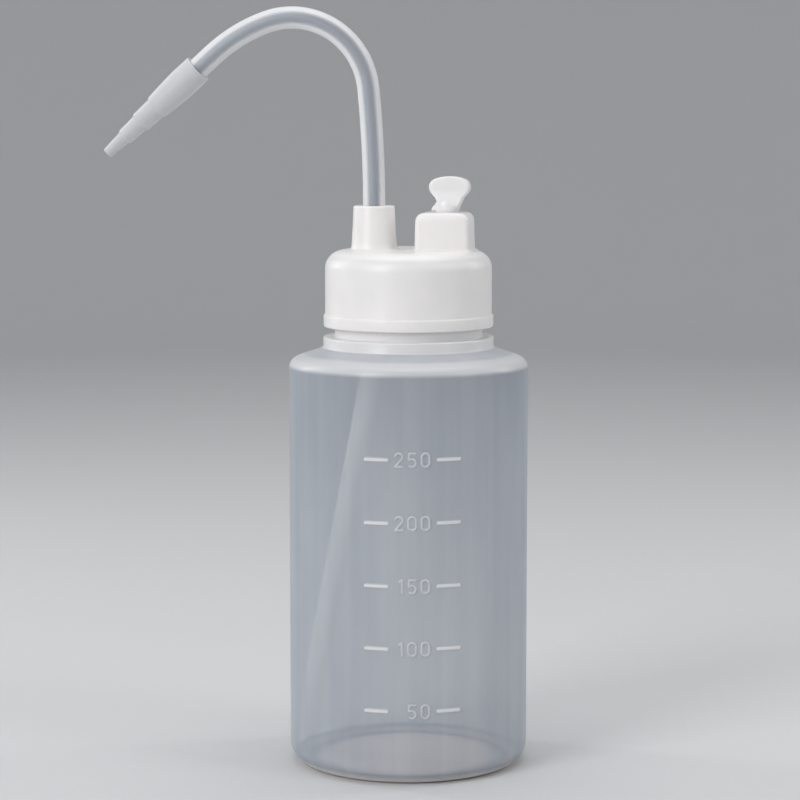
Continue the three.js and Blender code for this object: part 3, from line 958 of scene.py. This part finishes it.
def make_plug():
    """The quarter-turn plug: snap bead, seal groove, passage and port, under the wing handle."""
    low = plug_low.z / MM
    bead = 3.75
    passage = 1.1
    groove = 1.75
    groove_low = 145.6
    groove_high = 147.2
    profile = [(0, VENT_PORT + 1.1), (passage, VENT_PORT + 1.0), (passage, low), (2.8, low)]
    profile += [(3.0, low + 0.1), (bead - 0.1, low + 0.7), (bead, low + 0.9), (bead, low + 1.3)]
    profile += [(PLUG_RADIUS, low + 1.7), (PLUG_RADIUS, 140), (PLUG_RADIUS, groove_low)]
    profile += [(groove, groove_low), (groove, groove_high), (PLUG_RADIUS, groove_high)]
    profile += [(PLUG_RADIUS, 149.2), (2.6, 149.7), (0, 149.7)]
    plug = turned("vent_cock", profile, 72)
    combine(plug, make_handle(), "UNION")
    port = bar("port", 1.0, 0, 6, 32)
    port.data.transform(Matrix.Rotation(math.pi / 2, 4, "Y"))
    combine(plug, move(port, z=VENT_PORT), "DIFFERENCE")
    move(plug, x=VENT_X / MM)
    white = white_plastic("white_polyethylene", (0.79, 0.78, 0.78), (0.84, 0.83, 0.83), 0.4)
    return dress(smooth(plug, 40), white, "vent", "vent_plug", "vent_plug")


# ---- delivery tube and tip ---------------------------------------------------------------------

# The tube's stretches from the dip end to the tip: length in mm and turn in degrees.
# A bend's length is its radius times its turn. Between the two lists it runs straight up.
DIP_STRETCHES = [
    (166.6 * math.radians(9.2), -9.2),
    (74.4, 0.0),
    (70 * math.radians(10.7), 10.7),
]
DIP_STRAIGHT_BOTTOM = 115.4
# The dip end is cut at a slant, and its lowest point is this high. The rings above the cut
# straighten one by one.
DIP_CUT = math.radians(38)
DIP_END_HEIGHT = 3.45
DIP_CUT_RINGS = 6
DIP_CUT_STEP = 0.8
GOOSENECK_STRETCHES = [
    (31.1, 5.62),
    (20.82 * math.radians(103.77), 103.77),
    (43.68 * math.radians(22.41), 22.41),
    (5.5 + TIP_GRIP, 0.0),
]


def walk(x, z, heading, stretches, step):
    """(x, z, heading) along stretches laid end to end, about a step apart, in the XZ plane."""
    straight_step = 6
    places = [(x, z, heading)]
    for length, degrees in stretches:
        turn = math.radians(degrees)
        count = max(1, round(length / step)) if degrees else max(2, round(length / straight_step))
        for i in range(1, count + 1):
            along = length * i / count
            if turn:
                bend = length / turn
                end = heading + turn * i / count
                place = (
                    x + bend * (math.sin(end) - math.sin(heading)),
                    z - bend * (math.cos(end) - math.cos(heading)),
                    end,
                )
            else:
                place = (x + along * math.cos(heading), z + along * math.sin(heading), heading)
            places.append(place)
        x, z, heading = places[-1]
    return places


def tube_places():
    """(x, z, heading) along the tube's middle line, placed so that it comes up in the socket."""
    step = 1.5
    dip_turn = sum(degrees for _, degrees in DIP_STRETCHES)
    heading = math.radians(90 - dip_turn)
    trial = walk(0, 0, heading, DIP_STRETCHES, step)[-1]
    start_x = SOCKET_X / MM - trial[0]
    start_z = DIP_STRAIGHT_BOTTOM - trial[1]
    riser = (SOCKET_TOP / MM - DIP_STRAIGHT_BOTTOM, 0.0)
    return walk(start_x, start_z, heading, [*DIP_STRETCHES, riser, *GOOSENECK_STRETCHES], step)


def make_tube():
    """One tube from the slanted dip end to the end inside the tip, with its bore."""
    sides = 40
    places = tube_places()
    low_side = places[0][0] - TUBE_RADIUS
    slant = math.tan(DIP_CUT)
    points = []
    faces = []
    for index, (x, z, heading) in enumerate(places):
        along = Vector((math.cos(heading), 0, math.sin(heading)))
        across = Vector((math.sin(heading), 0, -math.cos(heading)))
        for radius in (TUBE_RADIUS, TUBE_BORE):
            for i in range(sides):
                angle = TAU * i / sides
                offset = across * (radius * math.cos(angle)) + Vector((0, radius * math.sin(angle), 0))
                point = Vector((x, 0, z)) + offset
                if index < DIP_CUT_RINGS:
                    cut = DIP_END_HEIGHT + (point.x - low_side) * slant
                    lowest = cut + index * DIP_CUT_STEP
                    if point.z < lowest:
                        point += along * ((lowest - point.z) / along.z)
                points.append(tuple(point))
    ring = 2 * sides
    for index in range(len(places) - 1):
        for i in range(sides):
            j = (i + 1) % sides
            a, b = index * ring, (index + 1) * ring
            faces.append((a + j, a + i, b + i, b + j))
            faces.append((a + sides + i, a + sides + j, b + sides + j, b + sides + i))
    end = (len(places) - 1) * ring
    for i in range(sides):
        j = (i + 1) % sides
        faces.append((i, j, sides + j, sides + i))
        faces.append((end + j, end + i, end + sides + i, end + sides + j))
    tube = smooth(mesh_from("bent_tube", points, faces), 50)
    # The points still stand in rings: first the outside, then the bore.
    bore = tube.data.attributes.new("bore", "FLOAT", "POINT")
    dip = tube.data.attributes.new("dip", "FLOAT", "POINT")
    for index, (_, z, _) in enumerate(places):
        for i in range(ring):
            # Below the deck the dip is marked for painted light; above it the bore is marked for
            # painted shade.
            dip.data[index * ring + i].value = 0 if z > DECK else 1
            bore.data[index * ring + i].value = 1 if z > DECK and i >= sides else 0
    return dress(tube, tube_plastic(), "spout", "tube", "delivery_tube")


# The tip's cones from the small end up: the radius at the foot, the radius at the top, its top.
TIP_CONES = [(1.42, 1.85, 6.4), (2.27, 2.44, 12.2), (2.87, 3.02, 18.4)]


def is_tip_bore(x, y, z):
    """1 in the tip's narrow passage, which is painted dark as painted shade."""
    widest = 1.35
    return 1.0 if math.hypot(x, y) < widest and 0.2 < z < 20 else 0.0


def make_tip():
    """The stepped nozzle tip, turned about its own axis and then laid along the tube's end."""
    mouth = 0.75
    profile = arc(1.22, 0.18, 0.18, -90, -10, 3)
    bottom = 0
    for foot, radius, top in TIP_CONES:
        for share in (0.0, 0.35, 0.7, 1.0):
            height = bottom + 0.25 + (top - bottom - 0.4) * share
            profile.append((foot + (radius - foot) * share, height))
        # Each cone ends in a sharp step out to the next.
        profile += [(radius, top - 0.04), (radius + 0.02, top + 0.02)]
        bottom = top
    profile += [(3.42, bottom + 0.25), (3.62, 21), (3.82, 24), (3.98, 26.5), (4.05, 28.2)]
    profile += [(4.04, 31), (4.0, TIP_LENGTH - 0.4)]
    profile += arc(3.72, TIP_LENGTH - 0.28, 0.28, 0, 90, 4)
    grip = TUBE_RADIUS + 0.06
    floor = TIP_LENGTH - TIP_GRIP - 0.3
    profile += [(grip + 0.12, TIP_LENGTH), (grip, TIP_LENGTH - 0.3), (grip, floor)]
    profile += [(TUBE_BORE, floor), (1.3, 14), (0.95, 9), (mouth, 5), (mouth, 0.25), (mouth + 0.1, 0)]
    tip = smooth(turned("stepped_tip", profile, 72, closed=True), 40)
    mark_points(tip, "bore", is_tip_bore)
    x, z, heading = tube_places()[-1]
    along = Vector((math.cos(heading), 0, math.sin(heading)))
    small_end = Vector((x, 0, z)) + along * (TIP_LENGTH - TIP_GRIP)
    turn = Matrix.Rotation(-math.pi / 2 - heading, 4, "Y")
    tip.data.transform(Matrix.Translation(small_end * MM) @ turn)
    return dress(tip, tip_plastic(), "nozzle", "tip", "nozzle_tip")


# ---- studio ------------------------------------------------------------------------------------


def make_floor():
    """A pale seamless floor that curves up all round, far behind the object."""
    flat = 1200
    cove = 800
    top = 2600
    profile = [(0, 0), (300, 0), (700, 0)]
    profile += arc(flat, cove, cove, -90, 0, 24)
    profile += [(flat + cove, 1700), (flat + cove, top)]
    floor = turned("studio_floor", profile, 96)
    floor.data.shade_smooth()
    it = Plastic("studio_paper", 0.8)
    fibres = it.noise(3, detail=4)
    it.set("Base Color", it.blend(fibres, (0.62, 0.62, 0.625), (0.64, 0.64, 0.645)))
    floor.data.materials.append(it.material)


def softbox(name, place, aim, size, power):
    """A rectangular lamp: its place and aim in metres, its width and height, and its watts."""
    lamp = bpy.data.lights.new(name, "AREA")
    lamp.shape = "RECTANGLE"
    lamp.size, lamp.size_y = size
    lamp.energy = power
    holder = bpy.data.objects.new(name, lamp)
    holder.location = place
    holder.rotation_euler = (Vector(aim) - Vector(place)).to_track_quat("-Z", "Y").to_euler()
    holder.visible_camera = False
    bpy.context.scene.collection.objects.link(holder)


def make_studio():
    make_floor()
    aim = (0, 0, 0.1)
    softbox("left_box", (-0.6, -0.97, 0.6), aim, (0.5, 0.9), 8.6)
    softbox("right_box", (0.95, -0.35, 0.55), aim, (0.35, 0.8), 1.9)
    softbox("left_rim", (-0.62, 0.2, 0.36), aim, (0.1, 0.4), 0.8)
    softbox("right_rim", (0.6, 0.3, 0.36), aim, (0.1, 0.4), 0.8)
    softbox("top_box", (0.0, 0.1, 1.1), aim, (0.9, 0.9), 4.2)
    world = bpy.data.worlds.new("studio_air")
    world.use_nodes = True
    world.node_tree.nodes["Background"].inputs["Color"].default_value = (0.93, 0.96, 1.0, 1)
    world.node_tree.nodes["Background"].inputs["Strength"].default_value = 0.5
    bpy.context.scene.world = world
    bpy.context.scene.view_settings.view_transform = "Standard"


def make_camera():
    """The camera stands a little to the vent's side and looks slightly down."""
    side = math.radians(9)
    distance = 0.713
    height = 0.178
    tilt = math.radians(6.4)
    yaw = side + math.radians(0.182)
    lens = bpy.data.cameras.new("camera")
    lens.sensor_width = 36
    lens.lens = 120.2
    lens.clip_start = 0.01
    camera = bpy.data.objects.new("camera", lens)
    camera.location = (distance * math.sin(side), -distance * math.cos(side), height)
    camera.rotation_euler = (math.pi / 2 - tilt, 0, yaw)
    bpy.context.scene.collection.objects.link(camera)
    bpy.context.scene.camera = camera


make_camera()
make_studio()
make_bottle()
make_cap()
make_liner()
make_plug()
make_o_ring()
make_tube()
make_tip()
